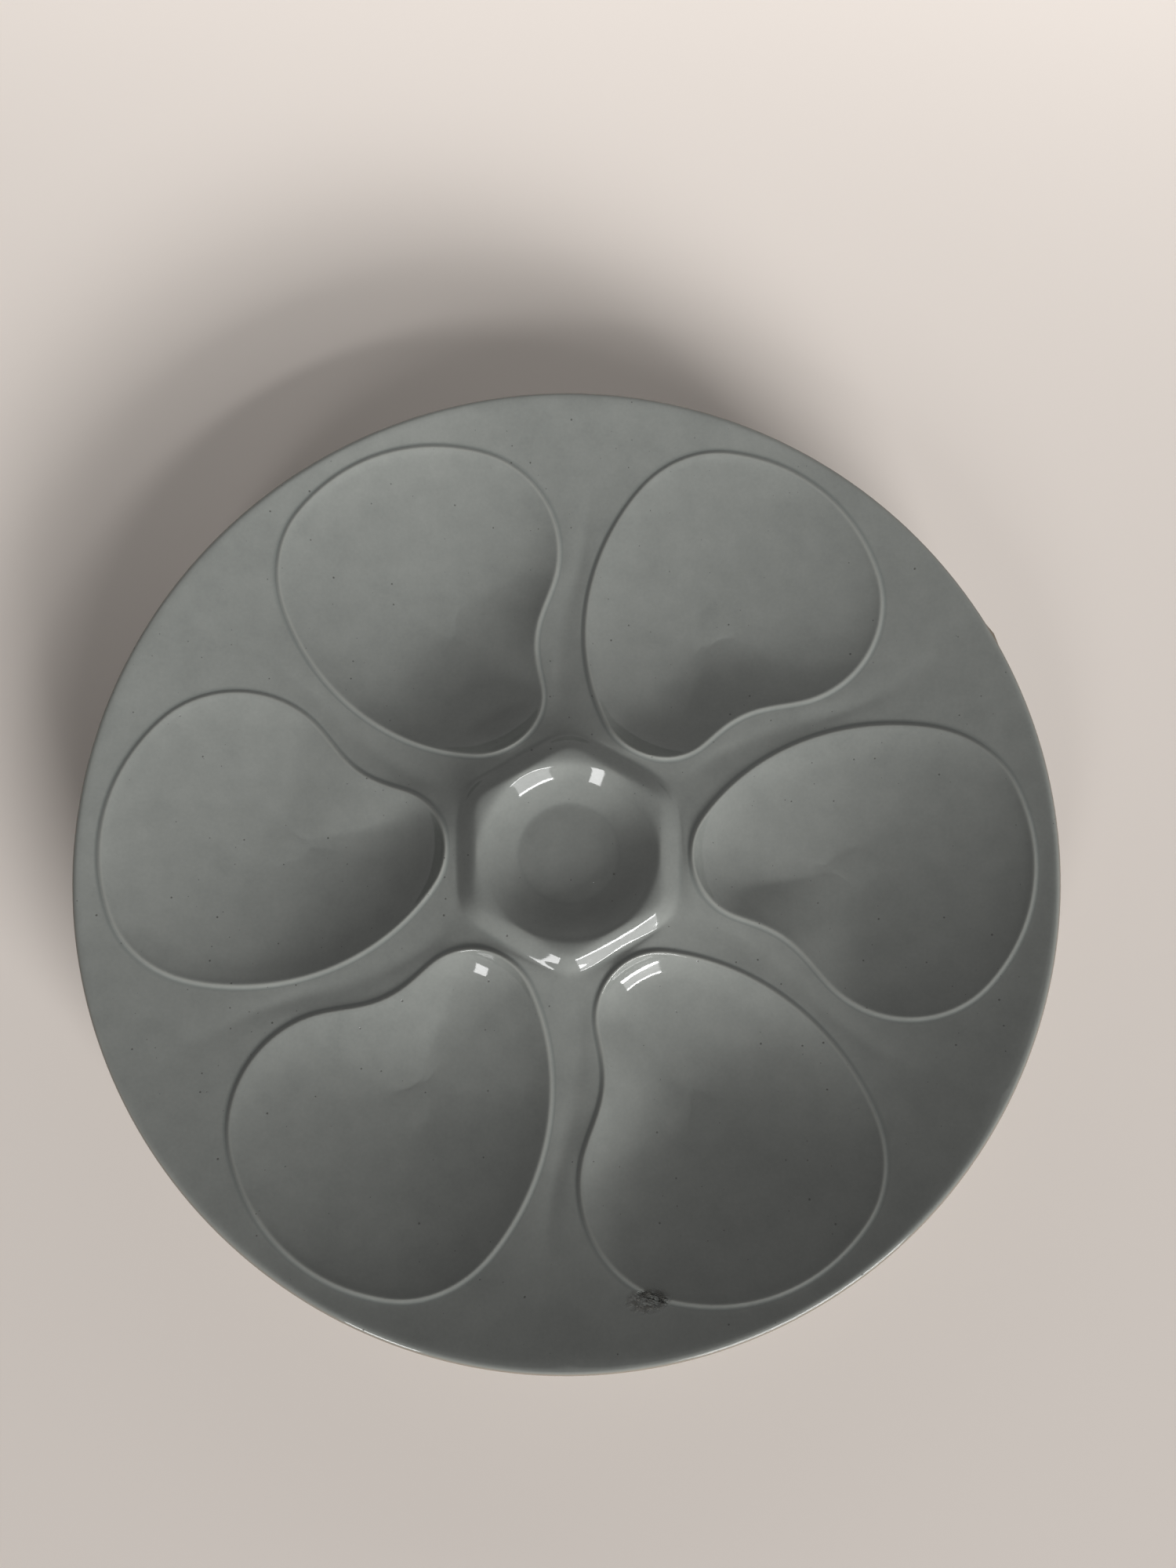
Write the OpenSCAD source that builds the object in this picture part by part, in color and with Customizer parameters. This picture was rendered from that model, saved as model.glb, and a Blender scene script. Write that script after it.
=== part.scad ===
// Oyster plate in glazed earthenware: six comma-shaped wells round a six-sided boss with a round sauce well.
// Origin on the table, under the plate's centre. +Z is up, and one well points along +X.

/* [Plate] */
// Diameter over the rim
rim_d = 245; // [238:1:256]
// Height of the rim's top above the table
plate_h = 25; // [24:0.5:28]
// Thickness of the rounded edge of the rim
edge_t = 3.2; // [2.6:0.1:4]
// Height of the land between the wells where it is lowest
land_h = 14; // [13:0.25:15]
// Radius at which the land is lowest, and from which it sweeps up both ways
sweep_r = 62; // [58:1:68]
// Rise of the land from there in to the foot of the boss
boss_rise = 4.8; // [4:0.1:5.4]
// Dip of the land along a spoke, midway between two wells
spoke_dip = 0.6; // [0:0.1:1]
// Thickness of the glaze
glaze_t = 0.5; // [0.3:0.05:0.8]

/* [Wells] */
// Number of oyster wells, and of the boss's sides
well_count = 6; // [5, 6]
// Width of the band between a well and the rim
rim_band = 7.2; // [5:0.1:9]
// Height of a well's floor above the table where it is lowest
well_floor_h = 9; // [8.4:0.1:9.6]
// Rise that the floor would have from there out to the rim
floor_rise = 14; // [12:0.25:15]
// Height of the raised lip round a well
lip_h = 0.9; // [0.6:0.1:1.4]
// Width of the lip's outer flank
lip_w = 1.8; // [1.4:0.1:2.4]
// Width of the steep wall inside the lip
wall_w = 7; // [5:0.5:9]
// Radius of the narrow tail
tail_r = 16; // [14:0.2:17]
// How far the centre of the tail lies off the well's middle line, towards the notch
tail_off = 0.8; // [0:0.1:2]
// Width of the valley between a tail and the boss
valley_w = 3; // [2.6:0.1:5]
// Radius of the lobe beside the notch
notch_lobe_r = 26; // [24:0.5:27]
// How far the centre of that lobe lies in from the well's outer edge
notch_lobe_in = 31; // [29:0.5:33]
// How far it lies off the well's middle line
notch_lobe_off = 15.5; // [13:0.5:16]
// Radius of the lobe on the other side
back_lobe_r = 26; // [24:0.5:28]
// How far the centre of that lobe lies in from the well's outer edge
back_lobe_in = 27; // [26.5:0.5:30]
// How far it lies off the well's middle line
back_lobe_off = 6.5; // [5:0.5:9]
// Radius of the outer side, next to the rim
outer_arc_r = 46.5; // [42:0.5:56]
// Radius of the long back of the comma
back_arc_r = 58.5; // [54:0.5:70]
// Radius of the hollow notch
notch_arc_r = 26; // [18:0.5:32]

/* [Boss] */
// Width of the boss's top across its flats
boss_w = 47; // [46.6:0.2:49]
// Radius that rounds the six corners of its top, seen from above
boss_round = 5.5; // [4:0.5:9]
// Height of the boss's top above the table
boss_h = 21; // [20.5:0.25:22]
// Width of the boss's sloping flank
boss_flank_w = 4.6; // [3.4:0.1:6]
// Diameter of the round well, over its lip
sauce_d = 45.6; // [44:0.1:46.2]
// Diameter of its flat floor
sauce_floor_d = 25; // [20:0.5:30]
// Height of its floor above the table
sauce_floor_h = 15; // [14:0.25:16]

/* [Foot] */
// Outer diameter of the foot ring
foot_d = 160; // [150:1:168]
// Width of the foot ring
foot_w = 6; // [4.5:0.5:8]
// Height of the recess inside the foot ring
recess_h = 3.6; // [3:0.1:4.2]
// Radius on the foot ring's edges
foot_round = 1; // [0.6:0.1:1.4]

/* [Hidden] */
$fn = 96;
rim_r = rim_d / 2;
edge_r = edge_t / 2;
crest_r = rim_r - edge_r;
sector = 360 / well_count;
boss_foot_r = boss_w / 2 + boss_flank_w;
foot_in_r = foot_d / 2 - foot_w;
// How far a spoke sways to either side on its way between two wells, in degrees, and how early
spoke_sway = 3;
spoke_sway_power = 0.8;
// Steps round the plate, for each well: along a spoke, the rim and a side of the boss
spoke_n = 11;
rim_n = 10;
boss_n = 4;
loop_n = 2 * spoke_n + rim_n + boss_n;
// Steps along the arcs of the comma: tail, notch, notch lobe, outer side, back lobe and back
tail_n = 8;
notch_n = 3;
notch_lobe_n = 7;
outer_n = 5;
back_lobe_n = 4;
back_n = 9;
// Step of the tail's arc that faces the foot of a spoke
tail_start = 5;
// Places and heights across a well's lip and wall
lip_shares = [[1, 0], [0.5, 0.58], [0, 1]];
wall_shares = [[0.14, 0.93], [0.43, 0.78], [1, 0.52]];
// Place and height of the one ring on the well's floor, and how far it evens out towards a circle
floor_share = 0.5;
floor_height_share = 0.13;
// Powers of the curves in which the land and the floors rise
land_power = 2;
floor_power = 1.5;
floor_even_share = 0.6;
// Radii and heights down the wall of the sauce well, from its floor to its lip
sauce_shares = [[0, 0], [0.34, 0.2], [0.63, 0.46], [0.85, 0.76], [1, 1]];
// Widths and heights of the boss's shoulder, from the flank's top
shoulder_w = 0.8;
shoulder_drop = 0.5;
// Angles round the rim's edge, and places along the underside
edge_angles = [50, 0, -45];
under_shares = [0.82, 0.6, 0.33, 0];
under_power = 1.4;
// Step between the foot ring and the glaze that stops beside it
foot_gap = 1.2;
// Radius of the glaze that gathers in the corner of the foot's recess
cove_r = 1.2;
overrun = 1;
// Overlapping surfaces that a quick view may draw
view_layers = 10;

// Plane geometry
function turned(p, a) = [p.x * cos(a) - p.y * sin(a), p.x * sin(a) + p.y * cos(a)];
function heading(p, q) = atan2(q.y - p.y, q.x - p.x);
function onward(a, b) = a + ((b - a) % 360 + 360) % 360;

// Meeting point, left of the way from p to q, of circles round p and q
function meeting(p, rp, q, rq) =
    let (d = norm(q - p), a = (rp * rp - rq * rq + d * d) / (2 * d), u = (q - p) / d)
    p + a * u + sqrt(rp * rp - a * a) * [-u.y, u.x];

// Points of an arc with the outward direction at each, less its last point
function arc_row(c, r, from, to, n, side = 1) =
    [for (i = [0 : n - 1]) let (a = from + (to - from) * i / n)
        [c + r * [cos(a), sin(a)], side * [cos(a), sin(a)]]];

// The comma: three circles joined by three tangent arcs
well_out = rim_r - rim_band;
tail_c = [boss_foot_r + valley_w + tail_r, -tail_off];
notch_lobe_c = [well_out - notch_lobe_in, -notch_lobe_off];
back_lobe_c = [well_out - back_lobe_in, back_lobe_off];
outer_c = meeting(notch_lobe_c, outer_arc_r - notch_lobe_r, back_lobe_c, outer_arc_r - back_lobe_r);
back_c = meeting(back_lobe_c, back_arc_r - back_lobe_r, tail_c, back_arc_r - tail_r);
notch_c = meeting(notch_lobe_c, notch_arc_r + notch_lobe_r, tail_c, notch_arc_r + tail_r);
at_back_tail = heading(back_c, tail_c);
at_tail_notch = heading(tail_c, notch_c);
at_notch_lobe = heading(notch_lobe_c, notch_c);
at_lobe_outer = heading(outer_c, notch_lobe_c);
at_outer_back = heading(outer_c, back_lobe_c);
at_back_lobe = heading(back_c, back_lobe_c);
comma = concat(
    arc_row(tail_c, tail_r, at_back_tail, onward(at_back_tail, at_tail_notch), tail_n),
    arc_row(notch_c, notch_arc_r, onward(at_notch_lobe, at_tail_notch) - 180, at_notch_lobe - 180,
        notch_n, -1),
    arc_row(notch_lobe_c, notch_lobe_r, at_notch_lobe, onward(at_notch_lobe, at_lobe_outer), notch_lobe_n),
    arc_row(outer_c, outer_arc_r, at_lobe_outer, onward(at_lobe_outer, at_outer_back), outer_n),
    arc_row(back_lobe_c, back_lobe_r, at_outer_back, onward(at_outer_back, at_back_lobe), back_lobe_n),
    arc_row(back_c, back_arc_r, at_back_lobe, onward(at_back_lobe, at_back_tail), back_n));
outline = [for (i = [0 : loop_n - 1]) comma[(i + tail_start) % loop_n]];
well_c = (notch_lobe_c + back_lobe_c + tail_c) / 3;
// Reach from the middle of a well to the foot of its wall
floor_reach = (well_out - tail_c.x + tail_r) / 2 - wall_w;

// Height of the face at a radius, with no wells: lowest in a ring, and sweeping up to the boss and the rim
function outward_share(r) = max(0, (r - sweep_r) / (crest_r - sweep_r));
function inward_share(r) = max(0, (sweep_r - r) / (sweep_r - boss_foot_r));
function land(r) =
    land_h + (plate_h - land_h) * pow(outward_share(r), land_power)
    + boss_rise * pow(inward_share(r), land_power);

// Height of a well's floor at a radius, and of a place inside the well at a share of the depth there
function floor_height(r) = well_floor_h + floor_rise * pow(outward_share(r), floor_power);
function inside(p, share) =
    let (r = norm([p.x, p.y]), low = floor_height(r))
    [p.x, p.y, low + (land(r) + lip_h - low) * share];

// Reach of the boss's outline at an angle: flats a half width w away, joined by round corners
function boss_reach(w, a) =
    let (off = abs(a - sector * round(a / sector)), gap = sector / 2 - off,
         d = (boss_w / 2 - boss_round) / cos(sector / 2), r = boss_round + w - boss_w / 2)
    off <= atan(d * sin(sector / 2) / w) ? w / cos(off)
    : d * cos(gap) + sqrt(r * r - pow(d * sin(gap), 2));

// Edges of a well's sector of the face: spoke, rim and side of the boss
spoke_in_r = boss_reach(boss_foot_r, sector / 2);
function spoke_point(f, a) =
    let (r = spoke_in_r + (crest_r - spoke_in_r) * f,
         p = turned([r, 0], a + spoke_sway * sin(360 * pow(f, spoke_sway_power))))
    [p.x, p.y, land(r) - spoke_dip * (1 - f * f)];
function rim_point(a) = [crest_r * cos(a), crest_r * sin(a), plate_h];
function boss_point(a) =
    let (r = boss_reach(boss_foot_r, a)) [r * cos(a), r * sin(a), land(r) - spoke_dip];

// One well, as rings of points from the land between wells down to the floor
function border(i) =
    i <= spoke_n ? spoke_point(i / spoke_n, -sector / 2)
    : i < spoke_n + rim_n ? rim_point(-sector / 2 + sector * (i - spoke_n) / rim_n)
    : i <= 2 * spoke_n + rim_n ? spoke_point((2 * spoke_n + rim_n - i) / spoke_n, sector / 2)
    : boss_point(sector / 2 - sector * (i - 2 * spoke_n - rim_n) / boss_n);
function lip_point(i, s) =
    let (p = outline[i][0] + s[0] * lip_w * outline[i][1])
    [p.x, p.y, land(norm(p)) + s[1] * lip_h];
function land_point(i) =
    let (a = border(i), b = lip_point(i, lip_shares[0]), p = (a + b) / 2, r = norm([p.x, p.y]))
    [p.x, p.y, land(r) + (a.z - land(norm([a.x, a.y]))) / 2];
function wall_point(i, s) = inside(outline[i][0] - s[0] * wall_w * outline[i][1], s[1]);
function floor_point(i) =
    let (p = wall_point(i, wall_shares[2]), way = [p.x, p.y] - well_c, reach = norm(way),
         q = well_c + way / reach * floor_share * (reach + (floor_reach - reach) * floor_even_share))
    inside(q, floor_height_share);
well_rings = [
    [for (i = [0 : loop_n - 1]) land_point(i)],
    for (s = lip_shares) [for (i = [0 : loop_n - 1]) lip_point(i, s)],
    for (s = wall_shares) [for (i = [0 : loop_n - 1]) wall_point(i, s)],
    [for (i = [0 : loop_n - 1]) floor_point(i)]];
ring_n = len(well_rings);

// The boss, as rings from its foot inwards to the floor of the sauce well
boss_loop_n = well_count * boss_n;
rim_loop_n = well_count * rim_n;
function boss_angle(i) = -sector / 2 + 360 * i / boss_loop_n;
function boss_ring(w, h) =
    [for (i = [0 : boss_loop_n - 1]) let (a = boss_angle(i), r = boss_reach(w, a))
        [r * cos(a), r * sin(a), h]];
function round_ring(r, h) =
    [for (i = [0 : boss_loop_n - 1]) let (a = boss_angle(i)) [r * cos(a), r * sin(a), h]];
boss_rings = [
    boss_ring(boss_w / 2 + shoulder_w, boss_h - shoulder_drop),
    boss_ring(boss_w / 2, boss_h),
    for (j = [len(sauce_shares) - 1 : -1 : 0]) let (s = sauce_shares[j])
        round_ring(sauce_floor_d / 2 + (sauce_d - sauce_floor_d) / 2 * s[0],
            sauce_floor_h + (boss_h - sauce_floor_h) * s[1])];

// The rim's edge and the underside, down to the foot, at a depth t below the glazed surface
under_r = foot_d / 2 + foot_gap;
function edge_ring(a, t) =
    [for (i = [0 : rim_loop_n - 1])
        let (b = -sector / 2 + 360 * i / rim_loop_n, r = crest_r + (edge_r - t) * cos(a))
        [r * cos(b), r * sin(b), plate_h - edge_r + (edge_r - t) * sin(a)]];
function under_ring(s, t) =
    let (end_a = edge_angles[len(edge_angles) - 1],
         end_r = crest_r + edge_r * cos(end_a), end_h = plate_h - edge_r + edge_r * sin(end_a),
         r = under_r + (end_r - under_r) * s,
         h = recess_h - glaze_t + (end_h - recess_h) * pow(s, under_power))
    [for (i = [0 : rim_loop_n - 1]) let (b = -sector / 2 + 360 * i / rim_loop_n)
        [r * cos(b), r * sin(b), h + t]];

// All points of the form at a depth t: spokes, rim, boss's foot, wells, their middles, boss, its middle, edge
function lowered(ring, t) = [for (p = ring) [p.x, p.y, p.z - t]];
function spun(p, k) = let (q = turned(p, sector * k)) [q.x, q.y, p.z];
function form_points(t) = concat(
    lowered([for (k = [0 : well_count - 1]) for (i = [0 : spoke_n]) spun(border(i), k)], t),
    lowered([for (k = [0 : well_count - 1]) for (i = [1 : rim_n - 1]) spun(border(spoke_n + i), k)], t),
    lowered([for (k = [0 : well_count - 1]) for (i = [1 : boss_n - 1]) spun(border(loop_n - i), k)], t),
    lowered([for (k = [0 : well_count - 1]) for (ring = well_rings) for (p = ring) spun(p, k)], t),
    lowered([for (k = [0 : well_count - 1]) spun(inside(well_c, 0), k)], t),
    lowered([for (ring = boss_rings) for (p = ring) p], t),
    [[0, 0, sauce_floor_h - t]],
    [for (a = edge_angles) for (p = edge_ring(a, t)) p],
    [for (s = under_shares) for (p = under_ring(s, t)) p]);
rim_at = well_count * (spoke_n + 1);
boss_at = rim_at + well_count * (rim_n - 1);
wells_at = boss_at + well_count * (boss_n - 1);
middles_at = wells_at + well_count * ring_n * loop_n;
boss_rings_at = middles_at + well_count;
sauce_at = boss_rings_at + len(boss_rings) * boss_loop_n;
edge_at = sauce_at + 1;
edge_ring_n = len(edge_angles) + len(under_shares);
form_n = edge_at + edge_ring_n * rim_loop_n;

// Loops of point numbers, each running counterclockwise as seen from above
function spoke_no(k, i) = (k % well_count) * (spoke_n + 1) + i;
function rim_no(k, i) =
    i == 0 ? spoke_no(k, spoke_n) : i == rim_n ? spoke_no(k + 1, spoke_n) : rim_at + k * (rim_n - 1) + i - 1;
function boss_no(k, i) =
    i == 0 ? spoke_no(k, 0) : i == boss_n ? spoke_no(k + 1, 0) : boss_at + k * (boss_n - 1) + i - 1;
function border_loop(k) = concat(
    [for (i = [0 : spoke_n]) spoke_no(k, i)],
    [for (i = [1 : rim_n - 1]) rim_no(k, i)],
    [for (i = [spoke_n : -1 : 0]) spoke_no(k + 1, i)],
    [for (i = [boss_n - 1 : -1 : 1]) boss_no(k, i)]);
function run(first, n) = [for (i = [0 : n - 1]) first + i];
function well_loop(k, j) = run(wells_at + (k * ring_n + j) * loop_n, loop_n);
rim_loop = [for (k = [0 : well_count - 1]) for (i = [0 : rim_n - 1]) rim_no(k, i)];
boss_loop = [for (k = [0 : well_count - 1]) for (i = [0 : boss_n - 1]) boss_no(k, i)];
function boss_ring_loop(j) = run(boss_rings_at + j * boss_loop_n, boss_loop_n);
function edge_loop(j) = run(edge_at + j * rim_loop_n, rim_loop_n);

// Faces between an outer loop and an inner one, and from a loop to its middle point
function band(outer, inner) =
    let (n = len(outer))
    [for (i = [0 : n - 1]) let (j = (i + 1) % n)
        each [[outer[i], inner[i], inner[j]], [outer[i], inner[j], outer[j]]]];
function fan(loop, middle) = let (n = len(loop)) [for (i = [0 : n - 1]) [loop[i], middle, loop[(i + 1) % n]]];
form_faces = [
    for (k = [0 : well_count - 1]) each concat(
        band(border_loop(k), well_loop(k, 0)),
        [for (j = [1 : ring_n - 1]) each band(well_loop(k, j - 1), well_loop(k, j))],
        fan(well_loop(k, ring_n - 1), middles_at + k)),
    each band(boss_loop, boss_ring_loop(0)),
    for (j = [1 : len(boss_rings) - 1]) each band(boss_ring_loop(j - 1), boss_ring_loop(j)),
    each fan(boss_ring_loop(len(boss_rings) - 1), sauce_at),
    each band(edge_loop(0), rim_loop),
    for (j = [1 : edge_ring_n - 1]) each band(edge_loop(j), edge_loop(j - 1))];

// Fired clay under the glaze, with its bare foot ring
module ceramic_body() {
    color("wheat") union() {
        polyhedron(form_points(glaze_t), concat(form_faces, [edge_loop(edge_ring_n - 1)]), view_layers);
        foot_ring();
    }
}

module foot_ring() {
    rotate_extrude() {
        translate([foot_in_r, foot_round]) square([foot_w, recess_h + overrun - foot_round]);
        translate([foot_in_r + foot_round, 0]) square([foot_w - 2 * foot_round, foot_round + overrun]);
        for (r = [foot_in_r + foot_round, foot_d / 2 - foot_round])
            translate([r, foot_round]) circle(foot_round);
    }
}

// One unbroken coat over the face, round the rim and down to the foot
module glaze_coat() {
    inner_faces = [for (f = form_faces) [f[2] + form_n, f[1] + form_n, f[0] + form_n]];
    last = edge_loop(edge_ring_n - 1);
    color("darkseagreen")
        polyhedron(concat(form_points(0), form_points(glaze_t)),
            concat(form_faces, inner_faces, band([for (i = last) i + form_n], last)), view_layers);
}

// Glaze inside the foot ring, which the bare foot parts from the rest
module foot_recess_glaze() {
    cove_x = foot_in_r - glaze_t - cove_r;
    cove_z = recess_h - glaze_t - cove_r;
    color("darkseagreen") rotate_extrude() difference() {
        translate([0, cove_z]) square([foot_in_r, glaze_t + cove_r]);
        translate([0, cove_z - overrun]) square([cove_x, cove_r + overrun]);
        translate([cove_x, cove_z]) circle(cove_r);
    }
}

ceramic_body();
glaze_coat();
foot_recess_glaze();
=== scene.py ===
# Oyster plate in glazed earthenware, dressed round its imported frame. Metres throughout, +Z up.
import math

import bmesh
import bpy
import numpy as np
from mathutils import Matrix, Vector


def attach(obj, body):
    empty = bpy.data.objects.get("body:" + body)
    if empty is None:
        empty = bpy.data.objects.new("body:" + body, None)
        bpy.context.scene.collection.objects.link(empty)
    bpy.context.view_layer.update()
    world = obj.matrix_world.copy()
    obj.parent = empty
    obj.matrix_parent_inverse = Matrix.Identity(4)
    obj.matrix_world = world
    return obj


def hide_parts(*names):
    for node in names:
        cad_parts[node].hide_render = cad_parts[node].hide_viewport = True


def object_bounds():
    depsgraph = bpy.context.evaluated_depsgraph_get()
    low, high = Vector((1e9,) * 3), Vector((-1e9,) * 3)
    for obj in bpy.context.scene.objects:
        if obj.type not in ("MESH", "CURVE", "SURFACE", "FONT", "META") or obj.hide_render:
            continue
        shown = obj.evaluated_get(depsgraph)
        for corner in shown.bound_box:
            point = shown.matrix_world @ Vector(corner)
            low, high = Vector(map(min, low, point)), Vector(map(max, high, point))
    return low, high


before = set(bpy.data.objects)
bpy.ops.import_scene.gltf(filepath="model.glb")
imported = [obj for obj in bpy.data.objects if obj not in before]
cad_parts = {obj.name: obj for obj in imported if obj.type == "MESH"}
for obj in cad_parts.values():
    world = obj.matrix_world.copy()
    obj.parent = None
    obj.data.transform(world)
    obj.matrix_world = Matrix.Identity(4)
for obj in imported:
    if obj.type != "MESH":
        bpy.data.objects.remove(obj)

cadLow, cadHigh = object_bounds()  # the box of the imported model, before anything is added
mm = 0.001


# Helpers for modelling

def makeActive(piece):
    bpy.ops.object.select_all(action="DESELECT")
    piece.select_set(True)
    bpy.context.view_layer.objects.active = piece


def startPiece(name, place):
    bpy.ops.object.select_all(action="DESELECT")
    bpy.ops.mesh.primitive_plane_add(size=mm, location=place)
    piece = bpy.context.object
    piece.name = name
    bpy.ops.object.transform_apply(location=True, rotation=False, scale=False)
    bpy.ops.object.mode_set(mode="EDIT")
    bpy.ops.mesh.merge(type="CENTER")  # one point to draw from
    return piece


def startChain(place):
    # another point to draw from, in the piece that is being edited
    bpy.ops.mesh.select_all(action="DESELECT")
    bpy.ops.mesh.primitive_plane_add(size=mm, location=place)
    bpy.ops.mesh.merge(type="CENTER")


def drawArc(centre, degrees, steps):
    # from the selected point, counterclockwise for a positive angle
    bpy.ops.mesh.spin(steps=steps, angle=-math.radians(degrees), center=(*centre, 0), axis=(0, 0, 1))


def drawTo(step):
    # a straight edge from each selected point
    bpy.ops.mesh.extrude_region_move(TRANSFORM_OT_translate={"value": step})


def nextRing(share, rise, centre=(0, 0)):
    # a new ring from the selected one, drawn in towards a centre and lifted
    bpy.ops.mesh.extrude_region_move(TRANSFORM_OT_translate={"value": (0, 0, rise)})
    bpy.ops.transform.resize(value=(share, share, 1), center_override=(*centre, 0))


def flatten(level):
    # the selected ring, to one height
    bpy.ops.transform.resize(value=(1, 1, 0), center_override=(0, 0, level))


def inset(width):
    bpy.ops.mesh.inset(thickness=width, depth=0, use_even_offset=True)


def selectLoop(piece, near):
    # the open loop of edges that passes nearest to a place
    bpy.ops.mesh.select_mode(type="EDGE")
    bpy.ops.mesh.select_all(action="DESELECT")
    mesh = bmesh.from_edit_mesh(piece.data)
    middle = lambda edge: (edge.verts[0].co + edge.verts[1].co) / 2
    openEdges = [edge for edge in mesh.edges if len(edge.link_faces) < 2]
    nearest = min(openEdges, key=lambda edge: (middle(edge) - Vector(near)).length)
    nearest.select_set(True)
    bmesh.update_edit_mesh(piece.data)
    bpy.ops.mesh.loop_multi_select(ring=False)


def selectPlaces(piece, test):
    bpy.ops.mesh.select_mode(type="VERT")
    bpy.ops.mesh.select_all(action="DESELECT")
    mesh = bmesh.from_edit_mesh(piece.data)
    for point in mesh.verts:
        point.select_set(test(point))
    mesh.select_flush_mode()
    bmesh.update_edit_mesh(piece.data)


def mergeAll(gap=0.02 * mm):
    bpy.ops.mesh.select_all(action="SELECT")
    bpy.ops.mesh.remove_doubles(threshold=gap)


def faceOutwards():
    bpy.ops.mesh.select_all(action="SELECT")
    bpy.ops.mesh.normals_make_consistent(inside=False)
    bpy.ops.object.mode_set(mode="OBJECT")


def turnAll(steps, degrees=360, copies=False):
    # the whole mesh, round the plate's middle
    bpy.ops.mesh.select_all(action="SELECT")
    bpy.ops.mesh.spin(steps=steps, dupli=copies, angle=math.radians(degrees), center=(0, 0, 0), axis=(0, 0, 1))


def applyModifier(piece, kind, **settings):
    modifier = piece.modifiers.new(kind.title(), kind)
    for key, value in settings.items():
        setattr(modifier, key, value)
    makeActive(piece)
    bpy.ops.object.modifier_apply(modifier=modifier.name)


def turned(point, degrees):
    return Matrix.Rotation(math.radians(degrees), 2) @ point


def bowed(start, end, bulge):
    # centre and angle of the arc from start to end that bulges to the right of the way
    chord = (end - start).length
    radius = chord ** 2 / (8 * abs(bulge)) + abs(bulge) / 2
    way = (end - start) / chord
    side = 1 if bulge > 0 else -1
    centre = (start + end) / 2 + Vector((-way.y, way.x)) * side * (radius - abs(bulge))
    return centre, side * 2 * math.degrees(math.asin(chord / 2 / radius))


# The glazed face: one sector with its well, turned six times, then the boss, the rim and the underside

face = {  # lengths in millimetres, angles in degrees, as in all the settings of the pieces
    "sector": 60, "rimRadius": 120.9, "edgeRadius": 1.6, "plateHeight": 25, "glaze": 0.5,
    "landHeight": 14, "sweepRadius": 62, "landPower": 2,  # lowest in a ring, rising both ways
    "bossRise": 5.1, "bossPower": 2.4,  # how the land climbs inwards to the boss
    "floorHeight": 9, "floorRise": 14, "floorPower": 1.5,  # the wells' floors, which climb outwards
    "valleyDip": 0.6,  # how far the land sinks between two wells
    "smooth": 2, "liningSmooth": 1,  # levels of subdivision
    "softAngle": 40,  # faces that meet at less than this are shaded smooth
}
landWheel = {"start": 20, "past": 2, "step": 1.5, "turns": 240}  # from inside the boss to past the rim
comma = {  # a well's outline: a circle for the tail and one for each lobe, and the arcs that join them
    "outerEdge": 115.3, "tailRadius": 16, "tailIn": 47.1, "tailOff": 0.8,
    "notchLobe": 26, "notchLobeIn": 31, "notchLobeOff": 15.5,
    "backLobe": 26, "backLobeIn": 27, "backLobeOff": 6.5,
    "outerArc": 46.5, "backArc": 58.5, "notchArc": 26,
    "steps": {"tail": 8, "notch": 3, "notchLobe": 7, "outer": 5, "backLobe": 4, "back": 9},
}
well = {
    "foot": 0.45, "lipWidth": 1.15, "lipHeight": 0.55,
    "lipFade": (82, 112, 0.45),  # radii between which the lip gets lower, and the share that it loses
    "centre": (73, -3), "grid": 9, "gridStart": 7,  # the floor closes round the centre with a grid of faces
    "lip": [(0.5, 0.58), (0.5, 0.42)],  # shares of the lip's width and height
    "wall": [(1, 0.93), (2, 0.78), (4, 0.52)],  # width of each band, and what is left of the depth
    "floor": [(0.72, 0.27), (0.45, 0.105), (0.2, 0.02)],  # share of the way from the centre, and of the depth
}
spoke = {  # the line between two sectors, which bows one way near the boss and the other way near the rim
    "sway": 3, "turn": 0.42, "inner": 5, "outer": 6, "rimSteps": 10,
}
boss = {
    "halfWidth": 23.5, "flank": 4.6, "corner": 5.5, "height": 21,
    "rings": [(26.6, 19.2), (24.6, 20.5), (23.4, 21)],  # half widths and heights up the flank
    "sauceRadius": 22.8, "sauceFloor": 12.5, "sauceHeight": 15, "sides": 24, "near": 0.05,
    "sauce": [(0.85, 0.76), (0.63, 0.46), (0.34, 0.2), (0.06, 0.025), (0, 0)],  # shares down its wall
    "centre": 0.4, "grid": 6,
}
underside = {
    "footRadius": 81.2, "footHeight": 3.1, "shares": [0.82, 0.6, 0.33, 0], "power": 1.4,
    "edges": [50, 0, -45],  # degrees round the rim's rounded edge
    "crease": 0.32,  # keeps the land's slope up to the rim
}


def meeting(p, reachP, q, reachQ):
    # where circles round p and q meet, left of the way from p to q
    gap = (q - p).length
    along = (reachP ** 2 - reachQ ** 2 + gap ** 2) / (2 * gap)
    way = (q - p) / gap
    return p + way * along + Vector((-way.y, way.x)) * math.sqrt(reachP ** 2 - along ** 2)


def heading(p, q):
    return math.degrees(math.atan2(q.y - p.y, q.x - p.x))


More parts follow.
